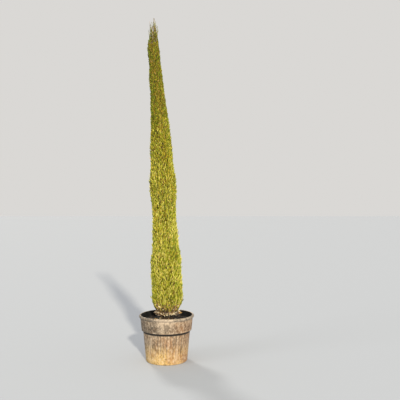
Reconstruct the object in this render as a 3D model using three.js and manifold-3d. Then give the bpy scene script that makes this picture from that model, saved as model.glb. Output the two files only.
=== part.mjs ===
// An Italian cypress, grown as one slender column in a nursery pot. Millimetres, +Z up.
// The origin is the centre of the pot's flat underside. The side that faces -Y is the front.
import * as THREE from "three";
import { mergeVertices } from "three/addons/utils/BufferGeometryUtils.js";
import Module from "manifold-3d";

const wasm = await Module();
wasm.setup();

// Driving dimensions of the tree
const TREE_TOP = 3390;
const SOIL_TOP = 405;
const FOLIAGE_FOOT = 500; // lowest green foliage
const FOLIAGE_TOP = 3310; // above it only thin leaders show
const CROWN_RADIUS = 166; // widest, at a tenth of the crown's height
const LEAN = -133; // how far the tip stands to the left of the foot
const LEAN_BACK = 22;
const LEAN_POWER = 1.4; // the trunk bends more and more as it rises
const SWAY = 5; // slow wave in the trunk, which dies away towards the tip
const BOW = -23; // how far the leader bows to the left below its tip
const BOW_START = 0.6; // the share of the trunk's height above which it bows
const BOW_POWER = 1.9; // above 1, the bow is widest near the tip
const FOOT_ASIDE = 4; // the trunk stands this far to the right of the pot's axis
const TRUNK_RADIUS = 30; // just above the flare
const TRUNK_TIP_RADIUS = 2.5;
const FLARE_RADIUS = 17; // what the root flare adds at the soil
const FLARE_HEIGHT = 45;
const ROOT_RIDGES = 5; // where the main roots leave the flare
const RIDGE_DEPTH = 0.16;

// Driving dimensions of the pot
const POT_HEIGHT = 452;
const RIM_RADIUS = 272;
const COLLAR_FOOT_Z = 304; // the collar is the wide band below the rim
const COLLAR_TOP_RADIUS = 259;
const COLLAR_FOOT_RADIUS = 247;
const BODY_TOP_RADIUS = 232;
const BODY_FOOT_RADIUS = 203;
const RIM_DEPTH = 27; // the rolled rim hangs down this far outside the collar
const RIM_ROUND = 9;
const WALL = 5;
const FOOT_BEVEL = 6;
const POT_SIDES = 32;

// Clearances between solids
const SEAT = 0.3; // between a piece and what carries it
const CREVICE = 2; // between neighbouring masses of foliage
const CLEAR = 0.75 * CREVICE; // a mass grown by this much cuts the masses above it

const { clamp, lerp, smoothstep } = THREE.MathUtils;
const TURN = 2 * Math.PI;

const finish = (color, roughness) =>
  new THREE.MeshStandardMaterial({ color, roughness, metalness: 0 });
const FINISHES = {
  foliage: finish(0x9a9434, 0.85),
  dryFoliage: finish(0xa8794a, 0.9),
  bark: finish(0x7a5a44, 0.9),
  soil: finish(0x2a211b, 1),
  plastic: finish(0x9a8b74, 0.7),
};

// A closed three.js geometry as a solid that can be cut.
const solidOf = (geometry) => {
  const bare = geometry.clone().deleteAttribute("normal").deleteAttribute("uv");
  const merged = mergeVertices(bare, 1e-3);
  return new wasm.Manifold(
    new wasm.Mesh({
      numProp: 3,
      vertProperties: merged.attributes.position.array,
      triVerts: new Uint32Array(merged.index.array),
    }),
  );
};

// The largest body of a cut solid, because a cut can leave crumbs.
const largest = (solid) =>
  solid.decompose().reduce((a, b) => (b.volume() > a.volume() ? b : a));

const meshOf = (name, solid, material) => {
  const { vertProperties, triVerts } = largest(solid).getMesh();
  const geometry = new THREE.BufferGeometry()
    .setAttribute("position", new THREE.BufferAttribute(vertProperties, 3))
    .setIndex(new THREE.BufferAttribute(triVerts, 1));
  geometry.computeVertexNormals();
  const mesh = new THREE.Mesh(geometry, material);
  mesh.name = name;
  return mesh;
};

// Moves each vertex of a unit geometry to where place(x, y, z) says.
const mapped = (geometry, place) => {
  const p = geometry.attributes.position;
  for (let i = 0; i < p.count; i++)
    p.setXYZ(i, ...place(p.getX(i), p.getY(i), p.getZ(i)));
  return geometry;
};

// Where the trunk's axis stands at height z, measured from the pot's axis.
const axisAt = (z) => {
  const rise = clamp((z - SOIL_TOP) / (TREE_TOP - SOIL_TOP), 0, 1);
  const sway = SWAY * Math.sin(1.5 * TURN * rise) * (1 - rise);
  const bend = rise ** LEAN_POWER;
  const up = clamp((rise - BOW_START) / (1 - BOW_START), 0, 1);
  const bow = BOW * Math.sin(Math.PI * up ** BOW_POWER);
  return [LEAN * bend + sway + bow + FOOT_ASIDE, LEAN_BACK * bend];
};

// Straight taper to the tip, and a root flare that dies away just above the soil.
const trunkRadius = (z) => {
  const above = z - SOIL_TOP;
  const taper = lerp(TRUNK_RADIUS, TRUNK_TIP_RADIUS, above / (TREE_TOP - SOIL_TOP));
  return taper + FLARE_RADIUS * Math.exp(-above / FLARE_HEIGHT);
};

// Outline of the crown: share of its height, then share of its widest radius.
const OUTLINE = [
  [0, 0.64],
  [0.015, 0.82],
  [0.045, 0.92],
  [0.09, 1],
  [0.18, 0.97],
  [0.225, 0.82],
  [0.32, 0.79],
  [0.45, 0.8],
  [0.565, 0.7],
  [0.686, 0.525],
  [0.787, 0.44],
  [0.848, 0.375],
  [0.91, 0.385],
  [0.96, 0.32],
  [1, 0.155],
];

const crownRadius = (z) => {
  const height = clamp((z - FOLIAGE_FOOT) / (FOLIAGE_TOP - FOLIAGE_FOOT), 0, 1);
  const k = Math.max(1, OUTLINE.findIndex(([h]) => h >= height));
  const [h0, r0] = OUTLINE[k - 1];
  const [h1, r1] = OUTLINE[k];
  return CROWN_RADIUS * lerp(r0, r1, smoothstep(height, h0, h1));
};

// Slow lumps round and up the crown, as a share of its radius.
const lumps = (angle, z) =>
  0.04 * Math.sin(2 * angle + z / 170) +
  0.03 * Math.sin(3 * angle - z / 95 + 1.3) +
  0.02 * Math.sin(5 * angle + z / 60 + 4);

const trunkSolid = (grow) => {
  const sides = 10;
  const rings = 19;
  const foot = SOIL_TOP + SEAT;
  const unit = new THREE.CylinderGeometry(1, 1, 1, sides, rings);
  return solidOf(
    mapped(unit, (x, y, z) => {
      const up = (y + 0.5) ** 1.5; // rings stand closer at the flare
      const height = lerp(foot - grow, TREE_TOP + grow, up);
      const angle = Math.atan2(-z, x);
      const fade = Math.exp((foot - height) / FLARE_HEIGHT);
      const ridged = 1 + RIDGE_DEPTH * Math.cos(ROOT_RIDGES * angle) * fade;
      const r = Math.hypot(x, z) * (trunkRadius(height) * ridged + grow);
      const [ax, ay] = axisAt(height);
      return [ax + r * Math.cos(angle), ay + r * Math.sin(angle), height];
    }),
  );
};

// One tapering limb along a smooth curve through points, closed at both ends.
const limbSolid = (points, footRadius, tipRadius, sides = 6, steps = 5) => {
  const curve = new THREE.CatmullRomCurve3(points.map((p) => new THREE.Vector3(...p)));
  const { normals, binormals } = curve.computeFrenetFrames(steps);
  const unit = new THREE.CylinderGeometry(1, 1, 1, sides, steps);
  return solidOf(
    mapped(unit, (x, y, z) => {
      const t = y + 0.5;
      const step = Math.round(t * steps);
      const r = lerp(footRadius, tipRadius, t);
      return curve
        .getPointAt(t)
        .addScaledVector(normals[step], x * r)
        .addScaledVector(binormals[step], -z * r)
        .toArray();
    }),
  );
};

// Tiers of foliage masses from the foot of the crown to its top: where each starts, and its masses.
const TIERS = [
  { from: FOLIAGE_FOOT, masses: 5 },
  { from: 850, masses: 5 },
  { from: 1280, masses: 4 },
  { from: 1720, masses: 4 },
  { from: 2150, masses: 4 },
  { from: 2570, masses: 3 },
  { from: 2960, masses: 2 },
];
const RISE_OUTWARD = 0.9; // boughs climb outwards, so a tier's outer edge is higher than its inner
const PEAK = 62; // how far a mass's pointed top stands above the notches beside it
const STAGGER = 0.5; // each tier is turned by half a mass from the one below
const SINK = 14; // how far a mass reaches down behind the tops of the tier below, before it is cut

const sectorStart = (tier) => TURN * (0.07 + (STAGGER * tier) / TIERS[tier].masses);

// Height of the surface between two tiers, peaked over the middle of each mass of the lower one.
const tierEdge = (tier, angle, r) => {
  if (tier === 0) return FOLIAGE_FOOT + 12 * Math.sin(3 * angle + 1);
  if (tier === TIERS.length) return FOLIAGE_TOP - 0.5 * r + 14 * Math.cos(2 * angle);
  const below = TIERS[tier - 1].masses;
  const across = ((angle - sectorStart(tier - 1)) / TURN) * below;
  const ridge = 1 - 4 * Math.abs(across - Math.floor(across) - 0.5);
  return TIERS[tier].from + RISE_OUTWARD * r + PEAK * ridge;
};

// One mass of foliage: a wedge of the crown round the trunk, crowned outwards, with a pointed top.
// grow makes it larger all round, so that it can cut its neighbours clear.
const massSolid = (tier, sector, grow) => {
  const step = TURN / TIERS[tier].masses;
  const start = sectorStart(tier) + sector * step;
  const unit = new THREE.BoxGeometry(1, 1, 1, 4, 5, 1);
  return solidOf(
    mapped(unit, (x, y, z) => {
      const up = y + 0.5;
      const out = z + 0.5;
      const angle = start + step * (x + 0.5);
      const rough = lerp(TIERS[tier].from, TIERS[tier + 1]?.from ?? FOLIAGE_TOP, up);
      const reach = crownRadius(rough) * out;
      const low = tierEdge(tier, angle, reach) - grow - (tier ? SINK : 0);
      const high = tierEdge(tier + 1, angle, reach) + 3 * grow - CREVICE;
      const height = lerp(low, high, up);
      const crowned = 1.03 - 0.17 * Math.abs(2 * x) ** 3;
      const drawnIn = 1 - 0.16 * up ** 5 - 0.08 * (1 - up) ** 5;
      const outer = crownRadius(height) * (crowned * drawnIn + lumps(angle, height)) + grow;
      const inner = 0.5 * trunkRadius(height);
      const r = lerp(inner, outer, out);
      const edge = ((grow - CREVICE / 2) / r) * 2 * x; // the same width at every radius
      const [ax, ay] = axisAt(height);
      return [ax + r * Math.cos(angle + edge), ay + r * Math.sin(angle + edge), height];
    }),
  );
};

// Dry brown foliage that hangs on under the crown, as two half skirts round the foot of the trunk.
const SKIRT_TOP = FOLIAGE_FOOT - 16;
const SKIRT_FOOT = SOIL_TOP + 38;
const SKIRT_RADIUS = 92;
const SKIRT_RAGGED = 7; // how uneven its lower edge hangs

const skirtSolid = (half) => {
  const unit = new THREE.BoxGeometry(1, 1, 1, 8, 2, 1);
  return solidOf(
    mapped(unit, (x, y, z) => {
      const up = y + 0.5;
      const angle = Math.PI * (x + 0.5 + half);
      const ragged = SKIRT_RAGGED * Math.sin(5 * angle + 2 * half);
      const height = lerp(SKIRT_FOOT + ragged, SKIRT_TOP, up);
      const outer = SKIRT_RADIUS * lerp(0.72, 1, up) * (1 + 0.12 * Math.sin(4 * angle + 1));
      const inner = 0.5 * trunkRadius(height);
      const r = lerp(inner, outer, z + 0.5);
      const edge = (-CREVICE / 2 / r) * 2 * x;
      const [ax, ay] = axisAt(height);
      return [ax + r * Math.cos(angle + edge), ay + r * Math.sin(angle + edge), height];
    }),
  );
};

// Low boughs: from the foot of the trunk, out under the crown and up into the lowest masses.
const LOW_BOUGHS = 6;
const BOUGH_START_Z = SOIL_TOP + 24;
const BOUGH_REACH = 108;
const BOUGH_RADIUS = 9;
const BOUGH_TIP_RADIUS = 6;

const lowBoughSolid = (index, grow) => {
  const angle = TURN * ((index + 0.35) / LOW_BOUGHS) + 0.2 * Math.sin(2.4 * index);
  const start = BOUGH_START_Z + 5 * (index % 3);
  const at = (r, z) => {
    const [ax, ay] = axisAt(z);
    return [ax + r * Math.cos(angle), ay + r * Math.sin(angle), z];
  };
  const points = [
    at(10, start),
    at(0.55 * BOUGH_REACH, start + 12),
    at(0.86 * BOUGH_REACH, start + 34),
    at(BOUGH_REACH, FOLIAGE_FOOT + 25),
  ];
  return limbSolid(points, BOUGH_RADIUS + grow, BOUGH_TIP_RADIUS + grow);
};

// Thin leaders beside the trunk's own tip: sideways offset and height of the tip.
const LEADER_ROOT_Z = FOLIAGE_TOP - 70;
const LEADER_RADIUS = 4.5;
const LEADER_TIP_RADIUS = 1.6;
const SIDE_LEADERS = [
  { name: "leader_left", aside: -40, top: 3352 },
  { name: "leader_right", aside: 26, top: 3318 },
  { name: "leader_back", aside: 6, back: 24, top: 3335 },
];

const leaderSolid = ({ aside, back = 0, top }) => {
  const points = [0, 0.5, 1].map((t) => {
    const z = lerp(LEADER_ROOT_Z, top, t);
    const [ax, ay] = axisAt(z);
    const spread = lerp(0.75, 1, t);
    return [ax + aside * spread, ay + back * spread, z];
  });
  return limbSolid(points, LEADER_RADIUS, LEADER_TIP_RADIUS);
};

// A turned solid: outline points run outwards along the foot, up the outside and back to the axis.
const turnedSolid = (outline) => {
  const points = outline.map(([r, z]) => new THREE.Vector2(r, z));
  return solidOf(new THREE.LatheGeometry(points, POT_SIDES).rotateX(Math.PI / 2));
};

// Inside of the pot, from the floor up to the lip, moved in by gap.
const potInside = (gap) => [
  [BODY_FOOT_RADIUS - WALL - gap, WALL + gap],
  [BODY_TOP_RADIUS - WALL - gap, COLLAR_FOOT_Z - WALL + gap],
  [COLLAR_FOOT_RADIUS - WALL - gap, COLLAR_FOOT_Z + WALL + gap],
];

// Round outer edge of the rim, from its side up to its top.
const rimRound = [0, 1, 2, 3].map((step) => {
  const angle = (step * Math.PI) / 6;
  return [
    RIM_RADIUS - RIM_ROUND * (1 - Math.cos(angle)),
    POT_HEIGHT - RIM_ROUND * (1 - Math.sin(angle)),
  ];
});

const potSolid = () =>
  turnedSolid([
    [0, 0],
    [BODY_FOOT_RADIUS - FOOT_BEVEL, 0],
    [BODY_FOOT_RADIUS, FOOT_BEVEL],
    [BODY_TOP_RADIUS, COLLAR_FOOT_Z],
    [COLLAR_FOOT_RADIUS, COLLAR_FOOT_Z],
    [COLLAR_TOP_RADIUS, POT_HEIGHT - RIM_DEPTH],
    [RIM_RADIUS, POT_HEIGHT - RIM_DEPTH],
    ...rimRound,
    [COLLAR_TOP_RADIUS - WALL, POT_HEIGHT - RIM_ROUND],
    ...potInside(0).reverse(),
    [0, WALL],
  ]);

// Potting mix: level where the trunk stands, and a little lower towards the wall.
const SOIL_LEVEL_RADIUS = 75;
const SOIL_EDGE_DROP = 8;

const soilSolid = () => {
  const foot = COLLAR_FOOT_Z + WALL;
  const edge = SOIL_TOP - SOIL_EDGE_DROP;
  const share = (edge - foot) / (POT_HEIGHT - RIM_ROUND - foot);
  const wall = lerp(COLLAR_FOOT_RADIUS, COLLAR_TOP_RADIUS, share) - WALL - SEAT;
  return turnedSolid([
    [0, WALL + SEAT],
    ...potInside(SEAT),
    [wall, edge],
    [0.72 * wall, SOIL_TOP - 0.4 * SOIL_EDGE_DROP],
    [SOIL_LEVEL_RADIUS, SOIL_TOP],
    [0, SOIL_TOP],
  ]);
};

const tree = new THREE.Group();
tree.name = "italian_cypress";
const { foliage, dryFoliage, bark, soil, plastic } = FINISHES;

tree.add(meshOf("pot", potSolid(), plastic));
tree.add(meshOf("soil", soilSolid(), soil));
tree.add(meshOf("trunk", trunkSolid(0), bark));

const upTo = (count) => Array.from({ length: count }, (_, index) => index);
const clearOf = (solid, cutters) => cutters.reduce((left, cutter) => left.subtract(cutter), solid);
const tierSolids = (tier, grow) =>
  tier < 0 ? [] : upTo(TIERS[tier].masses).map((sector) => massSolid(tier, sector, grow));

// Masses are cut round the trunk, and each tier is cut clear of the tops of the one below.
const trunkCutter = trunkSolid(SEAT);
TIERS.forEach((_, tier) => {
  const cutters = [...tierSolids(tier - 1, CLEAR), trunkCutter];
  tierSolids(tier, 0).forEach((mass, sector) => {
    const name = `foliage_${tier + 1}_${sector + 1}`;
    tree.add(meshOf(name, clearOf(mass, cutters), foliage));
  });
});

// Limbs end at the masses that they enter, a seat's width short of them.
const footCutters = [trunkCutter, ...tierSolids(0, SEAT)];
const boughs = upTo(LOW_BOUGHS);
boughs.forEach((index) => {
  const bough = clearOf(lowBoughSolid(index, 0), footCutters);
  tree.add(meshOf(`low_bough_${index + 1}`, bough, bark));
});

const skirtCutters = [...footCutters, ...boughs.map((index) => lowBoughSolid(index, 2 * SEAT))];
["dry_skirt_back", "dry_skirt_front"].forEach((name, half) => {
  tree.add(meshOf(name, clearOf(skirtSolid(half), skirtCutters), dryFoliage));
});

const tipCutters = [trunkCutter, ...tierSolids(TIERS.length - 1, SEAT)];
SIDE_LEADERS.forEach((leader) => {
  tree.add(meshOf(leader.name, clearOf(leaderSolid(leader), tipCutters), bark));
});

export default tree;
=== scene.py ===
"""A potted Italian cypress: bark, boughs, twigs, sprays of scale leaves, pot and potting mix.

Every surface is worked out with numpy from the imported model's own solids. The crown's solids give the
outline that the sprays fill. A branching rule grows boughs from the trunk, twigs from the boughs and
sprays from the twigs, all from fixed seeds. Lengths are in metres.
"""

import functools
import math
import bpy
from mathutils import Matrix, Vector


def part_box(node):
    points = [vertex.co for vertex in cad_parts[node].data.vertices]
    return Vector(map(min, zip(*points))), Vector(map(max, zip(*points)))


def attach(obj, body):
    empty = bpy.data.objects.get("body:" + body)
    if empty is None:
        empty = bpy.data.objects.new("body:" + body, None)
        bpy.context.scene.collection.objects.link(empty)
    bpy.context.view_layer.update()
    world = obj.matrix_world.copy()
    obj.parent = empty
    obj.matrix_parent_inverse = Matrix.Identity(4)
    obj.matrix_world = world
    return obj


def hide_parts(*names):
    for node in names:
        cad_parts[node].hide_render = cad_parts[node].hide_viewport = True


bl_info = {
    "name": "Potted cypress",
    "version": (1, 0, 0),
    "blender": (4, 5, 0),
    "location": "3D View > Sidebar > Cypress",
    "description": "Grows a slender cypress in a nursery pot round its packed solids",
    "category": "Add Mesh",
}

import bpy
import numpy as np
from bpy.props import BoolProperty, FloatProperty, FloatVectorProperty, IntProperty, PointerProperty
from mathutils import Vector

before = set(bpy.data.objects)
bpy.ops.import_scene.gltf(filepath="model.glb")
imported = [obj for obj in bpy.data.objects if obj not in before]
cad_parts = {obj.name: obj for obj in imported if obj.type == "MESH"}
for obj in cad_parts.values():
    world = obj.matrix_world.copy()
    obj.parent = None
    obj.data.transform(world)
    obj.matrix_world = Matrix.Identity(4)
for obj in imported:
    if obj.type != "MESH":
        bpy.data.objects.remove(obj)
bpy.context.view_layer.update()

TURN = 2 * math.pi
GOLDEN_ANGLE = TURN * (1 - 1 / ((1 + math.sqrt(5)) / 2))
UP = np.array([0.0, 0.0, 1.0])
MM = 0.001


def nodes_named(start):
    """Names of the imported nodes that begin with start, in order."""
    return sorted(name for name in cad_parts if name.startswith(start))


TIERS = sorted({name.split("_")[1] for name in nodes_named("foliage_")})
SOIL_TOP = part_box("soil")[1].z
TREE_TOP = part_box("trunk")[1].z
CROWN_FOOT = min(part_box(name)[0].z for name in nodes_named("foliage_"))
CROWN_TOP = max(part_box(name)[1].z for name in nodes_named("foliage_"))
PLUME_FOOT = CROWN_TOP - 0.17
RIM_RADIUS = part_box("pot")[1].x
POT_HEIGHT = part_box("pot")[1].z


# Sizes and colours that can be changed


def length_property(label, default, description):
    """A distance in metres."""
    return FloatProperty(
        name=label, description=description, default=default, min=0.0, subtype="DISTANCE", unit="LENGTH"
    )


def count_property(label, default, description, least=0):
    """A whole number that isn't below least."""
    return IntProperty(name=label, description=description, default=default, min=least)


def share_property(label, default, description):
    """A number from nought to one."""
    return FloatProperty(
        name=label, description=description, default=default, min=0.0, max=1.0, subtype="FACTOR"
    )


def colour_property(label, red, green, blue):
    """A linear colour, given as it would be picked on a screen, from 0 to 255."""
    screen = np.array([red, green, blue]) / 255
    linear = np.where(screen <= 0.04045, screen / 12.92, ((screen + 0.055) / 1.055) ** 2.4)
    return FloatVectorProperty(
        name=label,
        description=f"Base colour of {label.lower()}",
        default=tuple(float(value) for value in linear),
        subtype="COLOR",
        size=3,
        min=0.0,
        max=1.0,
    )


class CypressGrowth(bpy.types.PropertyGroup):
    """How many limbs grow, and how large their sprays are."""

    seed: count_property("Seed", 7, "Start of all random draws")
    boughs: count_property("Boughs", 90, "Boughs that leave the trunk", 8)
    twigs: count_property("Twigs", 7700, "Twigs in the crown's outer layer", 50)
    sprays_per_twig: count_property("Sprays on a twig", 4, "Leafy sprays that leave its upper part", 1)
    branchlets: count_property("Branchlets on a spray", 4, "Scale-leaved branchlets beside its stem", 2)
    spray_length: length_property("Spray length", 0.031, "From a spray's foot to its tip")
    branchlet_width: length_property("Branchlet width", 0.0050, "Widest part of a scale-leaved branchlet")
    inner_sprays: count_property("Inner sprays", 2600, "Coarse shaded sprays nearer the trunk")
    shoots: count_property("Shoots", 11, "Thin young shoots beside the trunk's tip", 1)
    plume_sprays: count_property("Sprays on a shoot", 23, "Sparse small sprays on each shoot and leader", 1)
    skirt_sprays: count_property("Skirt sprays", 1300, "Dead sprays that hang on under the crown")
    fullness: FloatProperty(
        name="Fullness", description="Share of the packed outline that the sprays fill", default=1.03, min=0.5
    )
    lumps: share_property("Lumps", 0.045, "How far the crown swells and sinks between soft lumps")
    raggedness: share_property("Raggedness", 0.02, "How far single tufts stand out of the crown's outline")


class CypressColours(bpy.types.PropertyGroup):
    """Base colours of the foliage, from the deepest shade to the brightest tips, and of dead foliage."""

    deep: colour_property("Deep green", 70, 73, 3)
    olive: colour_property("Olive", 105, 108, 14)
    green: colour_property("Leaf green", 133, 140, 24)
    middle: colour_property("Middle green", 160, 161, 40)
    yellow_green: colour_property("Yellow green", 182, 181, 54)
    lime: colour_property("Lime", 203, 198, 82)
    gold: colour_property("Golden tips", 222, 212, 112)
    bronze: colour_property("Bronze", 144, 120, 36)
    amber: colour_property("Amber", 190, 166, 52)
    moss: colour_property("Moss green", 122, 138, 36)
    straw: colour_property("Straw", 254, 240, 206)
    tan: colour_property("Tan", 204, 164, 104)
    brown: colour_property("Dead brown", 104, 74, 42)
    withered: colour_property("Withered grey", 148, 136, 122)


class CypressPot(bpy.types.PropertyGroup):
    """The pot's surface and what lies on the potting mix."""

    ribs: count_property("Ribs", 46, "Shallow upright flutes round the body")
    rib_depth: length_property("Rib depth", 0.002, "From a flute's edge to its middle")
    dents: length_property("Dents", 0.0022, "How far the wall is pushed out of round")
    rim: colour_property("Rim", 120, 110, 98)
    collar: colour_property("Collar", 90, 79, 65)
    # Pale edges of the collar: partly wear, partly a painted highlight where they catch the light
    worn_lit_collar_edge: colour_property("Worn collar edges with painted highlight", 150, 133, 112)
    body: colour_property("Body", 143, 123, 98)
    foot_dust: colour_property("Dust on the foot", 204, 170, 104)
    ochre: colour_property("Ochre dust", 156, 110, 66)
    # Also used for the painted highlight on the collar and rim
    pale: colour_property("Pale wear and painted highlight", 196, 178, 156)
    # Also used for the painted shade on the left of the collar
    grime: colour_property("Grime", 62, 54, 44)
    # A painted shadow line under the collar's ledge
    shadow_line: colour_property("Painted shadow under the ledge", 20, 15, 10)
    inside: colour_property("Inside", 17, 17, 17)
    # Its own dark colour with painted shade on top
    mix: colour_property("Potting mix", 17, 14, 11)
    chips: count_property("Bark chips", 1100, "Pieces of bark in the mix")
    litter: count_property("Litter", 80, "Straw and dead sprays on the mix")


class CypressStage(bpy.types.PropertyGroup):
    """Camera, floor and lights."""

    camera_aside: length_property("Camera aside", 0.329, "How far right of the pot's axis it stands")
    camera_away: length_property("Camera distance", 5.5, "From the pot's axis, along the line of sight")
    eye_height: length_property("Eye height", 1.55, "Height of the lens above the floor")
    camera_pitch: FloatProperty(
        name="Camera pitch", description="Tilt above level", default=math.radians(0.31), subtype="ANGLE"
    )
    lens: FloatProperty(name="Lens", description="Focal length in millimetres", default=50.0, min=10.0)
    floor: colour_property("Floor", 166, 171, 179)
    warm_key: BoolProperty(name="Warm key", description="Tint the key light like low sun", default=True)


# Arrays of points


def unit(vectors):
    """Vectors of length one in the same directions."""
    return vectors / np.maximum(np.linalg.norm(vectors, axis=-1, keepdims=True), 1e-12)


def square_to(directions, roll):
    """Two unit vectors square to each direction and to each other, turned round it by roll."""
    upright = np.abs(directions[..., 2:]) > 0.9
    helper = np.where(upright, np.array([1.0, 0.0, 0.0]), UP)
    side = unit(np.cross(directions, helper))
    other = np.cross(directions, side)
    cos, sin = np.cos(roll)[..., None], np.sin(roll)[..., None]
    return cos * side + sin * other, cos * other - sin * side


def repeated_faces(faces, count, points_each):
    """The same triangles once for each of count shapes, whose points follow one another."""
    offsets = points_each * np.arange(count)[:, None, None]
    return (faces + offsets).reshape(-1, 3)


SPINDLE_FACES = np.array([[1, 2, 4], [2, 3, 4], [3, 1, 4], [2, 1, 0], [3, 2, 0], [1, 3, 0]])


def spindles(base, tip, width, roll, belly=0.36):
    """Slender closed spindles: a point at the base, three corners at belly of the way, a point at the tip."""
    axis = tip - base
    side, other = square_to(unit(axis), roll)
    turn = (np.arange(3) * TURN / 3)[None, :, None]
    across = width[:, None, None] / 2 * (np.cos(turn) * side[:, None] + np.sin(turn) * other[:, None])
    ring = (base + belly * axis)[:, None] + across
    points = np.concatenate([base[:, None], ring, tip[:, None]], axis=1)
    return points.reshape(-1, 3), repeated_faces(SPINDLE_FACES, len(base), points.shape[1])


def tube_faces(rings, sides):
    """Triangles of a closed tube: its wall, and a fan at both ends.

    Its points are those of the rings in order, then the middles of the first ring and of the last.
    """
    k = np.arange(sides)
    after = (k + 1) % sides
    row = (np.arange(rings - 1) * sides)[:, None]
    wall = np.stack([row + k, row + after, row + sides + after], -1).reshape(-1, 3)
    wall_too = np.stack([row + k, row + sides + after, row + sides + k], -1).reshape(-1, 3)
    last, end = (rings - 1) * sides, rings * sides
    low_cap = np.stack([after, k, np.full(sides, end)], -1)
    high_cap = np.stack([last + k, last + after, np.full(sides, end + 1)], -1)
    return np.concatenate([wall, wall_too, low_cap, high_cap])


def tubes(paths, radii, sides):
    """Closed tapering tubes: a ring of points square to each path at each step, and a cap at both ends.

    paths has the shape (tubes, steps, 3), and radii (tubes, steps) or, with relief, (tubes, steps, sides).
    """
    count, steps, _ = paths.shape
    if radii.ndim == 2:
        radii = radii[..., None]
    along = unit(np.gradient(paths, axis=1))
    first, _ = square_to(unit(paths[:, -1] - paths[:, 0]), np.zeros(count))
    first = first[:, None]
    side = unit(first - (first * along).sum(-1, keepdims=True) * along)
    other = np.cross(along, side)
    turn = (np.arange(sides) * TURN / sides)[None, None, :, None]
    around = np.cos(turn) * side[:, :, None] + np.sin(turn) * other[:, :, None]
    rings = paths[:, :, None] + radii[..., None] * around
    foot = paths[:, :1]
    tip = paths[:, -1:] + along[:, -1:] * radii[:, -1:, :1]
    points = np.concatenate([rings.reshape(count, -1, 3), foot, tip], axis=1)
    return points.reshape(-1, 3), repeated_faces(tube_faces(steps, sides), count, points.shape[1])


def turned(radii, heights, angles):
    """A closed turned surface whose first and last rows lie on the axis.

    radii and heights have the shape (rows, angles); the profile runs up the outside and back down inside.
    """
    rows, columns = radii.shape
    points = np.stack([radii * np.cos(angles), radii * np.sin(angles), heights], -1)
    points = np.concatenate([points[1:-1].reshape(-1, 3), points[:1, 0], points[-1:, 0]])
    return points, tube_faces(rows - 2, columns)


def ripples(u, v, seed, waves=14, finest=3.0):
    """Smooth uneven relief between about -1 and 1: a mean of sine waves over u and v in seeded directions."""
    rng = np.random.default_rng(seed)
    scale = finest ** rng.random(waves)
    heading = rng.random(waves) * TURN
    phase = rng.random(waves) * TURN
    total = np.zeros(np.broadcast(u, v).shape)
    for k in range(waves):
        wave = u * math.cos(heading[k]) + v * math.sin(heading[k])
        total += np.sin(scale[k] * wave + phase[k])
    return total / math.sqrt(waves)


def spaced(rng, shape, least=0.0, most=1.0):
    """Shares between nought and one, spread along the last axis, each drawn inside its own stretch."""
    count = shape[-1]
    return (np.arange(count) + rng.uniform(least, most, shape)) / count


def golden_turns(count):
    """Angles that spread any number of limbs evenly round a stem."""
    return GOLDEN_ANGLE * np.arange(count)


def joined(parts):
    """One list of points and one of faces from several."""
    offset, points, faces = 0, [], []
    for part_points, part_faces in parts:
        points.append(part_points)
        faces.append(part_faces + offset)
        offset += len(part_points)
    return np.concatenate(points), np.concatenate(faces)


# Pieces


def add_piece(name, points, faces, materials, replaces=(), slot=None, index=None, smooth=False):
    """A mesh object of triangles at the origin, which rides on the part's one body."""
    mesh = bpy.data.meshes.new(name)
    mesh.vertices.add(len(points))
    mesh.vertices.foreach_set("co", np.ascontiguousarray(points, np.float32).ravel())
    mesh.loops.add(3 * len(faces))
    mesh.loops.foreach_set("vertex_index", np.ascontiguousarray(faces, np.int32).ravel())
    mesh.polygons.add(len(faces))
    mesh.polygons.foreach_set("loop_start", np.arange(0, 3 * len(faces), 3, dtype=np.int32))
    if index is not None:
        mesh.polygons.foreach_set("material_index", np.ascontiguousarray(index, np.int32))
    mesh.polygons.foreach_set("use_smooth", np.full(len(faces), smooth))
    for material in materials:
        mesh.materials.append(material)
    mesh.update(calc_edges=True)
    mesh.validate()
    piece = bpy.data.objects.new(name, mesh)
    bpy.context.scene.collection.objects.link(piece)
    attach(piece, "root")
    if replaces:
        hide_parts(*replaces)
    return piece


def packed_mesh(names):
    """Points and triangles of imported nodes, with the loose triangles' shared points merged."""
    parts = []
    for name in names:
        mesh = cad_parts[name].data
        mesh.calc_loop_triangles()
        points = np.zeros(3 * len(mesh.vertices), np.float32)
        mesh.vertices.foreach_get("co", points)
        corners = np.zeros(3 * len(mesh.loop_triangles), np.int32)
        mesh.loop_triangles.foreach_get("vertices", corners)
        keys = np.round(points.reshape(-1, 3).astype(float), 6)
        merged, place = np.unique(keys, axis=0, return_inverse=True)
        parts.append((merged, place.ravel()[corners].reshape(-1, 3)))
    return joined(parts)


def finish_of(name, roughness=0.8):
    """A new material with a Principled shader: the material, its node tree and the shader."""
    material = bpy.data.materials.new(name)
    material.use_nodes = True
    shader = material.node_tree.nodes["Principled BSDF"]
    shader.inputs["Roughness"].default_value = roughness
    return material, material.node_tree, shader


def node(tree, kind, **values):
    """A node of this kind, with its properties set, and its inputs where the name is an input's."""
    made = tree.nodes.new(kind)
    for key, value in values.items():
        label = key.replace("_", " ").title()
        if label in made.inputs:
            made.inputs[label].default_value = value
        else:
            setattr(made, key, value)
    return made


def noise_at(tree, scale, detail=4.0, roughness=0.55, stretch=(1.0, 1.0, 1.0)):
    """Output of a noise pattern on object coordinates, finer where stretch is larger."""
    where = node(tree, "ShaderNodeTexCoord")
    mapping = node(tree, "ShaderNodeMapping")
    mapping.inputs["Scale"].default_value = stretch
    tree.links.new(where.outputs["Object"], mapping.inputs["Vector"])
    noise = node(tree, "ShaderNodeTexNoise", scale=scale, detail=detail, roughness=roughness)
    tree.links.new(mapping.outputs["Vector"], noise.inputs["Vector"])
    return noise.outputs["Fac"]


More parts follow.
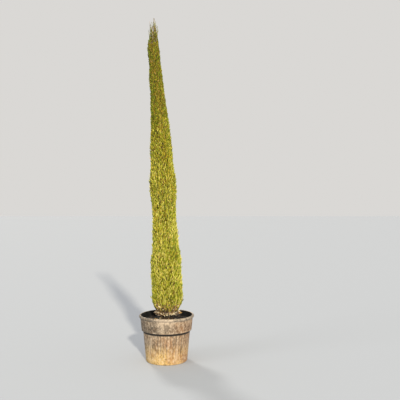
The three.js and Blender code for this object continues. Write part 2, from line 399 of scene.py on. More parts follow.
def ramp(tree, source, stops):
    """A colour ramp read by source; stops are (place, colour)."""
    made = node(tree, "ShaderNodeValToRGB")
    elements = made.color_ramp.elements
    while len(elements) < len(stops):
        elements.new(0.5)
    for element, (place, colour) in zip(elements, stops):
        element.position = place
        element.color = (*colour, 1.0)
    tree.links.new(source, made.inputs["Fac"])
    return made.outputs["Color"]


def blend_colours(tree, share, first, second):
    """Mixes two colours, each an output or a plain colour, by an output or number share."""
    mix = node(tree, "ShaderNodeMix", data_type="RGBA")
    for socket, value in ((mix.inputs[0], share), (mix.inputs[6], first), (mix.inputs[7], second)):
        if isinstance(value, bpy.types.NodeSocket):
            tree.links.new(value, socket)
        elif isinstance(value, float):
            socket.default_value = value
        else:
            socket.default_value = (*value, 1.0)
    return mix.outputs[2]


def grey_ramp(tree, source, stops):
    """A ramp of plain shares; stops are (place, share)."""
    return ramp(tree, source, [(place, (share,) * 3) for place, share in stops])


def object_axes(tree):
    """The x, y and z outputs of object coordinates."""
    where = node(tree, "ShaderNodeTexCoord")
    split = node(tree, "ShaderNodeSeparateXYZ")
    tree.links.new(where.outputs["Object"], split.inputs["Vector"])
    return [split.outputs[axis] for axis in "XYZ"]


def rising(tree, source, start, end, most=1.0, least=0.0):
    """Output that goes evenly from least to most while source goes from start to end, and stays there."""
    made = node(tree, "ShaderNodeMapRange", from_min=start, from_max=end, to_min=least, to_max=most)
    tree.links.new(source, made.inputs["Value"])
    return made.outputs["Result"]


def calculated(tree, operation, first, second=0.0):
    """Output of a Math node on an output, and on an output or a number where it takes two."""
    made = node(tree, "ShaderNodeMath", operation=operation)
    tree.links.new(first, made.inputs[0])
    if isinstance(second, bpy.types.NodeSocket):
        tree.links.new(second, made.inputs[1])
    else:
        made.inputs[1].default_value = second
    return made.outputs[0]


def relief(tree, shader, source, depth, strength=1.0):
    """Bump from source on the shader."""
    bump = node(tree, "ShaderNodeBump", strength=strength, distance=depth)
    tree.links.new(source, bump.inputs["Height"])
    tree.links.new(bump.outputs["Normal"], shader.inputs["Normal"])


def leaf_finish(name, colour, roughness=0.62):
    """Matt scale leaves or dead foliage in one plain colour."""
    material, _, shader = finish_of(name, roughness)
    shader.inputs["Base Color"].default_value = (*colour, 1.0)
    shader.inputs["Specular IOR Level"].default_value = 0.2
    return material


BARK_COLOURS = [(0.3, (0.032, 0.019, 0.009)), (0.52, (0.15, 0.092, 0.045)), (0.75, (0.31, 0.22, 0.125))]
# Bark colour at the foot of the trunk: painted shade, as under the dry skirt
SHADED_FOOT_BARK = (0.012, 0.009, 0.007)


def bark_finish():
    """Grey-brown bark with long upright furrows, painted dark at the foot of the trunk as shade under the dry
    skirt.
    """
    material, tree, shader = finish_of("bark", 0.9)
    furrows = noise_at(tree, 26.0, 8.0, 0.65, (1.0, 1.0, 0.16))
    colour = ramp(tree, furrows, BARK_COLOURS)
    _, _, z = object_axes(tree)
    # Painted shade: the bark darkens towards the foot of the trunk
    foot_shade = rising(tree, z, SOIL_TOP + 0.08, SOIL_TOP + 0.02, 0.85)
    colour = blend_colours(tree, foot_shade, colour, SHADED_FOOT_BARK)
    tree.links.new(colour, shader.inputs["Base Color"])
    relief(tree, shader, furrows, 0.004)
    return material


# The trunk's axis and the crown's outline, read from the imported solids

SAME_LEVEL = 0.5 * MM
FEWEST_ON_RING = 6
OUTER_ON_RING = 10  # the furthest points of a ring, which are the trunk's own outside
CREVICE = 3  # columns to either side over which the crevices between masses are closed
SMOOTHINGS = 14

# Heights, and how much wider the crown is there than its smoothed outline
SWELLS = (
    (0.55, 1.1), (0.7, 1.02), (0.9, 1.0), (0.99, 1.06), (1.07, 0.96), (1.3, 0.94), (1.5, 0.98), (1.8, 1.07),
    (1.95, 1.0), (2.3, 0.98), (2.49, 0.93), (2.62, 1.0), (2.85, 1.0), (3.05, 1.06), (CROWN_TOP, 0.8),
    (TREE_TOP, 0.3),
)


def curve(x, stops):
    """Values at x on straight lines between stops, which are (x, value)."""
    places, values = zip(*stops)
    return np.interp(x, places, values)


@functools.cache
def trunk_rings():
    """Height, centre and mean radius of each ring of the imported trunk, from the foot to the tip."""
    points, _ = packed_mesh(["trunk"])
    levels = np.unique(points[:, 2])
    levels = levels[np.concatenate([[True], np.diff(levels) > SAME_LEVEL])]
    heights, centres, radii = [], [], []
    for level in levels:
        ring = points[np.abs(points[:, 2] - level) < SAME_LEVEL, :2]
        if len(ring) >= FEWEST_ON_RING:
            furthest = np.argsort(-np.hypot(*(ring - ring.mean(0)).T))[:OUTER_ON_RING]
            outside = ring[furthest]
            heights.append(level)
            centres.append(outside.mean(0))
            radii.append(np.hypot(*(outside - centres[-1]).T).mean())
    return np.array(heights), np.array(centres), np.array(radii)


def axis_at(z):
    """The trunk's centre at height z, as points."""
    heights, centres, _ = trunk_rings()
    return np.stack([np.interp(z, heights, centres[:, 0]), np.interp(z, heights, centres[:, 1]), z], -1)


def trunk_radius(z):
    """The trunk's mean radius at height z."""
    heights, _, radii = trunk_rings()
    return np.interp(z, heights, radii)


def outward(angle):
    """Level unit vectors at an angle round the trunk."""
    return np.stack([np.cos(angle), np.sin(angle), np.zeros_like(angle)], -1)


def level_reach(names, heights, angles):
    """Distance from the trunk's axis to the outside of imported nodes, at each height and angle.

    At each height the triangles are cut by the level plane into short lines, and the reach at an angle is
    the furthest place where a level ray from the axis crosses one of them.
    """
    points, faces = packed_mesh(names)
    corners = points[faces]
    low, high = corners[..., 2].min(1), corners[..., 2].max(1)
    centres = axis_at(heights)
    rays = outward(angles)[:, None, :2]
    reach = np.zeros((len(heights), len(angles)))
    for i, level in enumerate(heights):
        cut = corners[(low < level) & (high >= level)]
        if not len(cut):
            continue
        following = np.roll(cut, -1, axis=1)
        crosses = (cut[..., 2] < level) != (following[..., 2] < level)
        rise = np.where(crosses, following[..., 2] - cut[..., 2], 1.0)
        share = ((level - cut[..., 2]) / rise)[..., None]
        ends = (cut + share * (following - cut))[crosses].reshape(-1, 2, 3)[..., :2] - centres[i, :2]
        start, along = ends[:, 0], ends[:, 1] - ends[:, 0]
        slant = rays[..., 0] * along[:, 1] - rays[..., 1] * along[:, 0]
        slant = np.where(np.abs(slant) < 1e-12, 1e-12, slant)
        far = (start[:, 0] * along[:, 1] - start[:, 1] * along[:, 0]) / slant
        on_line = (start[:, 0] * rays[..., 1] - start[:, 1] * rays[..., 0]) / slant
        met = (on_line >= -1e-6) & (on_line <= 1 + 1e-6) & (far > 0)
        reach[i] = np.where(met, far, 0.0).max(1)
    return reach


def row_neighbours(grid):
    """The grid with each value's neighbour below, the value itself, and its neighbour above."""
    padded = np.concatenate([grid[:1], grid, grid[-1:]])
    return padded[:-2], padded[1:-1], padded[2:]


@functools.cache
def outline_grid(rows=150, columns=72):
    """Distance from the trunk's axis to the crown's outside, on a grid of heights and angles.

    The crevices between masses are closed by taking the largest of each value and its neighbours, and the
    grid is then smoothed upwards once, and round the trunk several times.
    """
    heights = np.linspace(CROWN_FOOT + 4 * MM, CROWN_TOP - 4 * MM, rows)
    reach = level_reach(nodes_named("foliage_"), heights, np.arange(columns) * TURN / columns)
    around = np.stack([np.roll(reach, k, axis=1) for k in range(-CREVICE, CREVICE + 1)]).max(0)
    below, at, above = row_neighbours(around)
    reach = np.maximum(np.maximum(below, at), above)
    below, at, above = row_neighbours(reach)
    reach = (below + 2 * at + above) / 4
    for _ in range(SMOOTHINGS):
        reach = (np.roll(reach, 1, axis=1) + 2 * reach + np.roll(reach, -1, axis=1)) / 4
    return heights, reach


def crown_reach(z, angle):
    """The crown's outline at height z and an angle, between grid points, and narrowing to a thin tip.

    Smoothing has blunted its swellings and waists, which SWELLS brings back, and soft lumps lie over them.
    """
    heights, reach = outline_grid()
    rows, columns = reach.shape
    row = np.clip(np.interp(z, heights, np.arange(rows)), 0, rows - 1.001)
    column = np.mod(angle / TURN, 1.0) * columns
    i, j = row.astype(int), column.astype(int) % columns
    upwards, sideways = row - i, column - column.astype(int)
    beside = (j + 1) % columns
    low = reach[i, j] * (1 - sideways) + reach[i, beside] * sideways
    high = reach[i + 1, j] * (1 - sideways) + reach[i + 1, beside] * sideways
    lump = ripples(3 * np.cos(angle), 3 * np.sin(angle) + 14 * z, seed=8)
    lump *= bpy.context.scene.cypress_growth.lumps * (z < PLUME_FOOT)
    return (low * (1 - upwards) + high * upwards) * curve(z, SWELLS) * (1 + lump)


def centreline(name):
    """Middle points of a packed limb: the means of its points in groups, from the lowest to the highest."""
    points, _ = packed_mesh([name])
    order = np.argsort(points[:, 2])
    return np.array([group.mean(0) for group in np.array_split(points[order], LIMB_GROUPS)])


def resampled(path, steps):
    """The same path with evenly spaced points, on straight stretches between them."""
    lengths = np.concatenate([[0], np.cumsum(np.linalg.norm(np.diff(path, axis=0), axis=1))])
    where = np.linspace(0, lengths[-1], steps)
    return np.stack([np.interp(where, lengths, path[:, k]) for k in range(3)], -1)


# The branching rule

BOUGH_STEPS = 12
TWIG_STEPS = 4
LEADER_STEPS = 9
LIMB_GROUPS = 4  # places that are read along a packed bough or leader
BOUGH_RISES = np.array([0.09, 0.2, 0.32])  # heights above a packed bough's end through which it grows on
BOUGH_DEPTH = 0.7  # the share of the crown's reach at which it does so
FIRST_BOUGH = SOIL_TOP + 0.05
LAST_BOUGH = CROWN_TOP - 0.11
LONGEST_BOUGH = 0.52
BOUGH_SHORTENING = 0.3  # from the lowest to the highest
BOUGH_ENDS = (0.5, 0.74)  # shares of the crown's reach between which boughs end
LOWEST_TWIG = SOIL_TOP + 0.04
LOWEST_TARGET = CROWN_FOOT + 0.02
HIGHEST_TARGET = CROWN_TOP + 0.02
TWIG_ENDS = (0.8, 0.93)  # shares of the crown's reach between which twigs end
TWIG_RISES = (0.06, 0.12)
TWIG_SWING = 0.022  # how far a twig's bend lies aside
BEND_FROM, BEND_TO = np.array([0.3, 0.3, 0.72]), np.array([0.7, 0.7, 0.28])  # it swings out, then rises
TUFT_LIMITS = (-1.8, 1.6)
TUFT_DEPTH = 0.58  # the share of a twig's length below which it is bare
SHOOT_DROP = 0.11  # how much lower the lowest shoot ends than the highest
PLUME_SPRAY_LENGTHS = (0.015, 0.026)
PLUME_SPRAY_WIDTH = 0.56  # as a share of the other branchlets' width
FORK_DROP = 0.15  # how far below a leader's visible foot it leaves the trunk
PLUME_LENGTH = 0.1
PLUME_STRIPS = 72

# Heights, and how densely twigs stand there
TWIG_DENSITIES = ((PLUME_FOOT - 0.05, 1.0), (PLUME_FOOT + 0.05, 0.32), (HIGHEST_TARGET, 0.04))

# Shares of the crown's height, and how many steps its tints are darker there than at the foot
SHADE_DROPS = ((0.0, 0.0), (0.3, -0.1), (0.46, 0.35), (0.62, 1.5), (0.75, 2.2), (0.86, 2.8), (1.0, 2.95))


@functools.cache
def low_bough_paths():
    """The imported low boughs, carried on upwards inside the crown."""
    paths = []
    for name in nodes_named("low_bough"):
        middle = centreline(name)
        tip = middle[-1]
        centre = axis_at(tip[2])
        angle = np.array([math.atan2(tip[1] - centre[1], tip[0] - centre[0])])
        z = tip[2] + BOUGH_RISES
        up = axis_at(z) + outward(angle) * (BOUGH_DEPTH * crown_reach(z, angle))[:, None]
        foot = axis_at(middle[:1, 2] - 6 * MM)
        paths.append(resampled(np.concatenate([foot, middle, up]), BOUGH_STEPS))
    return np.array(paths)


@functools.cache
def bough_paths():
    """Boughs that leave the trunk by the golden angle, spread quickly and then climb close to upright."""
    growth = bpy.context.scene.cypress_growth
    rng = np.random.default_rng(growth.seed)
    share = (np.arange(growth.boughs) + 0.5) / growth.boughs
    start = FIRST_BOUGH + (LAST_BOUGH - FIRST_BOUGH) * share**1.05
    length = (LONGEST_BOUGH - BOUGH_SHORTENING * share) * rng.uniform(0.85, 1.15, len(share))
    length = np.minimum(length, CROWN_TOP - start)
    heading = golden_turns(len(share)) + rng.uniform(-0.3, 0.3, len(share))
    depth = rng.uniform(*BOUGH_ENDS, len(share))
    swirl = rng.uniform(-0.5, 0.5, len(share))
    t = np.linspace(0, 1, BOUGH_STEPS)[None]
    z = start[:, None] + length[:, None] * t
    angle = heading[:, None] + swirl[:, None] * t
    inner = 0.5 * trunk_radius(z)
    outer = depth[:, None] * crown_reach(z, angle)
    r = inner + np.maximum(outer - inner, 0) * (1 - (1 - t) ** 3)
    return axis_at(z) + outward(angle) * r[..., None]


@functools.cache
def leader_paths():
    """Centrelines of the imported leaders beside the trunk's tip, carried on down to the trunk."""
    paths = []
    for name in nodes_named("leader"):
        seen = centreline(name)
        fork = axis_at(seen[:1, 2] - FORK_DROP)
        bend = 0.35 * fork + 0.65 * seen[:1] - 0.04 * UP
        paths.append(resampled(np.concatenate([fork, bend, seen]), LEADER_STEPS))
    return np.array(paths)


def twig_targets(count, seed):
    """Even places on the crown's outline, fewer of them near its tip.

    Their heights go by equal shares of its surface, and their angles by the golden angle.
    """
    rng = np.random.default_rng(seed)
    heights = np.linspace(LOWEST_TARGET, HIGHEST_TARGET, 400)
    width = crown_reach(heights[:, None], np.linspace(0, TURN, 24)[None]).mean(1)
    width *= curve(heights, TWIG_DENSITIES)
    surface = np.cumsum(width) / width.sum()
    z = np.interp(spaced(rng, (count,), 0.2, 0.8), surface, heights)
    angle = golden_turns(count) + rng.normal(0, 0.06, count)
    return z, angle


@functools.cache
def twig_paths():
    """Twigs: each starts on a near bough below its target, swings aside and outwards, and turns up to it."""
    growth = bpy.context.scene.cypress_growth
    rng = np.random.default_rng(growth.seed + 1)
    z, angle = twig_targets(growth.twigs, growth.seed + 2)
    count = len(z)
    tuft = 1 + growth.raggedness * np.clip(rng.normal(0, 1, count), *TUFT_LIMITS)
    depth = rng.uniform(*TWIG_ENDS, count) * tuft
    target = axis_at(z) + outward(angle) * (depth * crown_reach(z, angle))[:, None]
    rise = rng.uniform(*TWIG_RISES, count) * curve(z, [(CROWN_FOOT, 1.0), (TREE_TOP, 0.55)])
    start_z = np.maximum(z - rise, LOWEST_TWIG)
    boughs = np.concatenate([low_bough_paths(), bough_paths()])
    bottom, top = boughs[:, :1, 2], boughs[:, -1:, 2]
    foot = along_paths(boughs, (start_z - bottom) / (top - bottom)).swapaxes(0, 1)
    away = np.linalg.norm(foot[..., :2] - target[:, None, :2], axis=-1)
    away += 0.7 * np.abs(foot[..., 2] - start_z[:, None])
    away += rng.uniform(0, 0.06, away.shape)
    chosen = foot[np.arange(count), away.argmin(1)]
    bend = BEND_FROM * chosen + BEND_TO * target
    bend += outward(angle + TURN / 4) * rng.normal(0, TWIG_SWING, (count, 1))
    t = np.linspace(0, 1, TWIG_STEPS)[None, :, None]
    paths = (1 - t) ** 2 * chosen[:, None] + 2 * t * (1 - t) * bend[:, None] + t**2 * target[:, None]
    return paths, tuft


def along_paths(paths, t):
    """Points at shares t along each path, on straight stretches; t has the shape (paths, points)."""
    steps = paths.shape[1]
    step = np.clip(t, 0, 1) * (steps - 1)
    i = np.minimum(step.astype(int), steps - 2)
    past = (step - i)[..., None]
    path = np.arange(len(paths))[:, None]
    return paths[path, i] * (1 - past) + paths[path, i + 1] * past


def angle_of(points):
    """Angle of points round the trunk's axis at their own height, and their distance from it."""
    across = points - axis_at(points[..., 2])
    return np.arctan2(across[..., 1], across[..., 0]), np.hypot(across[..., 0], across[..., 1])


def plume_tints(angle, z):
    """One random number for all the sprays of a plume: a length of one of the strips round the trunk."""
    rng = np.random.default_rng(bpy.context.scene.cypress_growth.seed + 7)
    strip = np.floor(np.mod(angle / TURN, 1.0) * PLUME_STRIPS).astype(int) % PLUME_STRIPS
    offset = rng.random(PLUME_STRIPS)
    length = np.floor(z / PLUME_LENGTH + offset[strip]).astype(int)
    return rng.normal(0, 1, (PLUME_STRIPS, length.max() + 1))[strip, length]


def held_inside(foot, way, length, share):
    """Feet of sprays, moved in where the tip would lie further out than this share of the crown's reach.

    The second array is the tip's distance from the axis before that, as a share of that limit.
    """
    tip = foot + way * length[..., None]
    angle, reach = angle_of(tip)
    room = crown_reach(tip[..., 2], angle) * share
    excess = np.maximum(reach - room, 0)
    return foot - outward(angle) * excess[..., None], reach / np.maximum(room, MM)


@functools.cache
def outer_sprays():
    """Foot, direction, length, tint value and branchlet width of every leafy spray, all as flat arrays.

    A spray leaves its twig upwards and outwards, and is moved in where its tip would pass the outline. Its
    tint value is a mean of random numbers for the spray, the twig and the plume. It is higher for tips that
    stand out, as painted light, lower for sprays deep inside the outline, as painted shade, and lower
    towards the tree's tip.
    """
    growth = bpy.context.scene.cypress_growth
    rng = np.random.default_rng(growth.seed + 3)
    paths, tuft = twig_paths()
    count, each = len(paths), growth.sprays_per_twig
    foot = along_paths(paths, TUFT_DEPTH + (1 - TUFT_DEPTH) * spaced(rng, (count, each)))
    turn = golden_turns(each) + rng.uniform(0, TURN, (count, 1))
    angle, _ = angle_of(foot)
    lean = rng.uniform(0.1, 0.5, (count, each))
    aside = rng.uniform(0.05, 0.35, (count, each))
    way = unit(UP + outward(angle) * lean[..., None] + outward(turn) * aside[..., None])
    height = (foot[..., 2] - CROWN_FOOT) / (TREE_TOP - CROWN_FOOT)
    length = growth.spray_length * rng.uniform(0.75, 1.25, (count, each)) * (1.06 - 0.3 * height)
    fullness = growth.fullness * tuft[:, None] * rng.uniform(0.95, 1.04, (count, each))
    foot, depth = held_inside(foot, way, length, fullness)
    shade = 0.2 * rng.normal(0, 1, (count, 1)) + 0.95 * rng.normal(0, 1, (count, each))
    shade += (0.55 - 0.35 * height) * plume_tints(angle, foot[..., 2])
    # Depth term: sprays deep inside the outline get darker tints as painted shade, and tufts that stand out
    # lighter ones as painted light
    value = shade + 1.5 * (np.minimum(depth, 1.1) - 0.85) - curve(height, SHADE_DROPS)
    wide = growth.branchlet_width * rng.uniform(0.85, 1.15, (count, each))
    crown = (foot.reshape(-1, 3), way.reshape(-1, 3), length.ravel(), value.ravel(), wide.ravel())
    return tuple(np.concatenate(pair) for pair in zip(crown, plume_sprays(growth.branchlet_width)))


@functools.cache
def shoot_paths():
    """Thin young shoots round the trunk's tip: they part from it quickly and rise to uneven heights."""
    growth = bpy.context.scene.cypress_growth
    rng = np.random.default_rng(growth.seed + 6)
    t = np.linspace(0, 1, LEADER_STEPS)[None]
    start = PLUME_FOOT - rng.uniform(0.0, 0.07, (growth.shoots, 1))
    rank = spaced(rng, (1, growth.shoots)).T
    top = TREE_TOP - 0.03 - SHOOT_DROP * rank
    z = start + (top - start) * t
    heading = golden_turns(growth.shoots)[:, None] + rng.uniform(0, 0.6, (growth.shoots, 1))
    apart = 0.014 + 0.04 * rank**0.7
    return axis_at(z) + outward(heading) * (apart * t**0.5)[..., None]


def plume_sprays(width):
    """The sparse sprays of the crown's tip: short and thin, along the trunk, the leaders and the shoots."""
    growth = bpy.context.scene.cypress_growth
    rng = np.random.default_rng(growth.seed + 5)
    trunk_end = axis_at(np.linspace(PLUME_FOOT - 0.02, TREE_TOP - 0.014, LEADER_STEPS))[None]
    paths = np.concatenate([trunk_end, trunk_end, leader_paths(), shoot_paths()])
    each = growth.plume_sprays
    size = (len(paths), each)
    t = spaced(rng, size)
    foot = along_paths(paths, 0.08 + 0.92 * t)
    turn = golden_turns(each) + rng.uniform(0, TURN, (len(paths), 1))
    on_trunk = (np.arange(len(paths)) < 2)[:, None]
    foot = foot + outward(turn) * np.where(on_trunk, 0.8 * trunk_radius(foot[..., 2]), 1.2 * MM)[..., None]
    way = unit(UP + outward(turn) * rng.uniform(0.12, 0.45, size)[..., None])
    length = rng.uniform(*PLUME_SPRAY_LENGTHS, size) * (1.1 - 0.35 * t)
    value = rng.normal(-1.7, 0.8, size)
    wide = PLUME_SPRAY_WIDTH * width * np.ones(size)
    return foot.reshape(-1, 3), way.reshape(-1, 3), length.ravel(), value.ravel(), wide.ravel()


def spray_shape(foot, way, length, width, count, rng, spread):
    """Base, tip and width of each branchlet of a spray: its stem, and count side branchlets.

    Side branchlets leave the stem round it by the golden angle, lean forwards by spread, and get shorter
    towards its tip.
    """
    sprays = len(foot)
    side, other = square_to(way, rng.uniform(0, TURN, sprays))
    share = spaced(rng, (sprays, count), 0.0, 0.9)
    turn = golden_turns(count) + rng.normal(0, 0.25, (sprays, count))
    start = 0.06 + 0.74 * share
    reach = (0.46 - 0.24 * share) * rng.uniform(0.8, 1.2, (sprays, count))
    open_out = spread * rng.uniform(0.75, 1.25, (sprays, count)) * (1 - 0.25 * share)
    across = np.cos(turn)[..., None] * side[:, None] + np.sin(turn)[..., None] * other[:, None]
    heading = unit(way[:, None] + across * open_out[..., None])
    base = foot[:, None] + way[:, None] * (start * length[:, None])[..., None]
    tip = base + heading * (reach * length[:, None])[..., None]
    stem_tip = foot + way * length[:, None]
    base = np.concatenate([foot[:, None], base], 1)
    tip = np.concatenate([stem_tip[:, None], tip], 1)
    wide = np.concatenate([np.full((sprays, 1), 0.9), np.full((sprays, count), 1.0)], 1)
    wide = wide * width * rng.uniform(0.85, 1.15, wide.shape)
    return base.reshape(-1, 3), tip.reshape(-1, 3), wide.ravel()


def branchlet_steps(count):
    """How many tints brighter than its spray each branchlet is: the lowest are darker, as painted shade under
    the others, and the highest and the stem brighter, as painted light.
    """
    side = np.floor(3 * (np.arange(count) + 0.5) / count).astype(int) - 1
    return np.concatenate([[1], side])


def spray_mesh(foot, way, length, width, count, seed, spread=0.25):
    """Mesh of sprays, and how many triangles each spray has."""
    rng = np.random.default_rng(seed)
    base, tip, wide = spray_shape(foot, way, length, width, count, rng, spread)
    points, faces = spindles(base, tip, wide, rng.uniform(0, TURN, len(base)))
    return points, faces, len(SPINDLE_FACES) * (count + 1)


def add_sprays(name, mesh, materials, tint, nodes, slot):
    """A piece of sprays, each spray in one plain tint. mesh is what spray_mesh gives."""
    points, faces, each = mesh
    add_piece(name, points, faces, materials, nodes, slot, np.repeat(tint, each))


# Operators

FLOOR_REACH = 60.0  # far enough that its edge lies at the horizon


class MakeStage(bpy.types.Operator):
    """Add the floor, the lights and the camera at eye height"""

    bl_idname = "cypress.make_stage"
    bl_label = "Stage"

    def execute(self, context):
        stage = context.scene.cypress_stage
        mesh = bpy.data.meshes.new("floor")
        corners = [(-1, -1), (1, -1), (1, 1), (-1, 1)]
        mesh.from_pydata([(x * FLOOR_REACH, y * FLOOR_REACH, 0) for x, y in corners], [], [(0, 1, 2, 3)])
        material, _, shader = finish_of("floor", 0.95)
        shader.inputs["Base Color"].default_value = (*stage.floor, 1.0)
        shader.inputs["Specular IOR Level"].default_value = 0.1
        mesh.materials.append(material)
        floor = bpy.data.objects.new("floor", mesh)
        context.scene.collection.objects.link(floor)

        world = bpy.data.worlds.new("studio")
        world.use_nodes = True
        background = world.node_tree.nodes["Background"]
        background.inputs["Color"].default_value = (1.0, 0.98, 0.95, 1.0)
        background.inputs["Strength"].default_value = 0.7
        context.scene.world = world
        warm = (1.0, 0.9, 0.72) if stage.warm_key else (1.0, 1.0, 1.0)
        self.add_sun("key", warm, strength=4.2, azimuth=14, elevation=25, softness=3)
        self.add_sun("fill", (1.0, 0.97, 0.92), strength=0.6, azimuth=-60, elevation=30, softness=25)
        self.add_sun("back", (1.0, 0.94, 0.84), strength=1.8, azimuth=205, elevation=34, softness=12)

        lens = bpy.data.cameras.new("camera")
        lens.lens = stage.lens
        lens.sensor_width = 36.0
        lens.clip_end = 200.0
        camera = bpy.data.objects.new("camera", lens)
        camera.location = (stage.camera_aside, -stage.camera_away, stage.eye_height)
        camera.rotation_euler = (math.pi / 2 + stage.camera_pitch, 0.0, 0.0)
        context.scene.collection.objects.link(camera)
        context.scene.camera = camera
        context.scene.view_settings.view_transform = "Standard"
        return {"FINISHED"}

    def add_sun(self, name, colour, strength, azimuth, elevation, softness):
        """A distant soft light, by angles in degrees. Azimuth 0 shines from the front, 90 from the right."""
        light = bpy.data.lights.new(name, "SUN")
        light.energy = strength
        light.color = colour
        light.angle = math.radians(softness)
        a, e = math.radians(azimuth), math.radians(elevation)
        source = Vector((math.sin(a) * math.cos(e), -math.cos(a) * math.cos(e), math.sin(e)))
        lamp = bpy.data.objects.new(name, light)
        lamp.rotation_euler = source.to_track_quat("Z", "Y").to_euler()
        bpy.context.scene.collection.objects.link(lamp)


TRUNK_RINGS = 170
TRUNK_SIDES = 40
FURROW_DEPTH = 0.05  # as a share of the trunk's radius
THINNEST_TRUNK = 0.6 * MM
LOW_BOUGH_RADII = ((0.0, 9.5 * MM), (0.4, 6.5 * MM), (1.0, 2 * MM))
THINNEST_BOUGH = 1.2 * MM
LEADER_RADII = (3.6 * MM, 1.0 * MM)  # at its foot and at its tip
SHOOT_RADII = (2.0 * MM, 0.8 * MM)


class MakeBark(bpy.types.Operator):
    """Wrap the trunk, the boughs, the leaders and the twigs in bark"""

    bl_idname = "cypress.make_bark"
    bl_label = "Trunk, boughs and twigs"

    def execute(self, context):
        bark = bark_finish()
        self.make_trunk(bark)
        low = low_bough_paths()
        high = bough_paths()
        t = np.linspace(0, 1, BOUGH_STEPS)[None]
        low_radii = curve(t, LOW_BOUGH_RADII) * np.ones((len(low), 1))
        thick = 0.42 * trunk_radius(high[:, :1, 2])
        high_radii = np.maximum(thick * (1 - 0.8 * t), THINNEST_BOUGH)
        boughs = joined([
            self.furrowed(low, low_radii, sides=14, depth=0.14),
            self.furrowed(high, high_radii, sides=12, depth=0.12),
        ])
        add_piece("boughs", *boughs, [bark], nodes_named("low_bough"), "bark", smooth=True)
        leaders = joined([
            self.tapering(leader_paths(), LEADER_RADII, sides=7),
            self.tapering(shoot_paths(), SHOOT_RADII, sides=5),
        ])
        add_piece("leaders", *leaders, [bark], nodes_named("leader"), "bark", smooth=True)
        twigs = self.tapering(twig_paths()[0], SHOOT_RADII, sides=3)
        add_piece("twigs", *twigs, [bark], (), "bark", smooth=True)
        return {"FINISHED"}

    def tapering(self, paths, radii, sides):
        """Tubes that narrow evenly from the first radius to the second."""
        steps = np.linspace(*radii, paths.shape[1])[None]
        return tubes(paths, steps * np.ones((len(paths), 1)), sides)

    def furrowed(self, paths, radii, sides, depth):
        """Tubes whose radii rise and fall round each ring, in furrows that run along the limb."""
        turn = (np.arange(sides) * TURN / sides)[None, None]
        limb = np.arange(len(radii))[:, None, None]
        step = np.arange(radii.shape[1])[None, :, None]
        furrows = ripples(4 * turn + 5 * limb, 0.7 * step, seed=4)
        return tubes(paths, radii[..., None] * (1 + depth * furrows), sides)

    def make_trunk(self, bark):
        """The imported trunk's own radius at each height and angle, with upright furrows cut into it."""
        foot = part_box("trunk")[0].z
        heights = foot + (TREE_TOP - foot) * np.linspace(0, 1, TRUNK_RINGS) ** 1.9
        angles = np.arange(TRUNK_SIDES) * TURN / TRUNK_SIDES
        centres = axis_at(heights)
        inside = np.clip(heights, foot + 0.2 * MM, TREE_TOP - 0.2 * MM)
        reach = level_reach(["trunk"], inside, angles)
        furrows = ripples(9 * angles[None], 26 * heights[:, None], seed=3, waves=18)
        reach = np.maximum(reach * (1 + FURROW_DEPTH * furrows), THINNEST_TRUNK)
        rings = centres[:, None] + outward(angles)[None] * reach[..., None]
        points = np.concatenate([rings.reshape(-1, 3), rings[:1].mean(1), rings[-1:].mean(1)])
        faces = tube_faces(TRUNK_RINGS, TRUNK_SIDES)
        add_piece("trunk_bark", points, faces, [bark], ["trunk"], "bark", smooth=True)


LEAF_TINTS = (
    "deep", "olive", "green", "middle", "yellow_green", "lime", "gold", "bronze", "amber", "moss", "tan",
)
GREENS = LEAF_TINTS.index("bronze")
GREEN_SHARES = (0.16, 0.155, 0.155, 0.165, 0.155, 0.12)  # of all sprays, from the deepest; the rest are gold
TIER_OVERLAP = 0.06  # sprays of a tier start this far above the foot of its masses

# Heights, and which share of the sprays there is bronze, mossy or tan, or how strong the amber patches are
BRONZE_SHARES = ((0.5, 0.02), (1.5, 0.06), (2.3, 0.14), (2.6, 0.26), (3.2, 0.22))
AMBER_STRENGTHS = ((0.9, 0.25), (1.3, 1.0), (1.6, 1.0), (2.8, 0.4))
MOSS_SHARES = ((0.9, 0.08), (1.3, 0.0))
TAN_SHARES = ((CROWN_FOOT + 0.02, 0.42), (CROWN_FOOT + 0.09, 0.006))


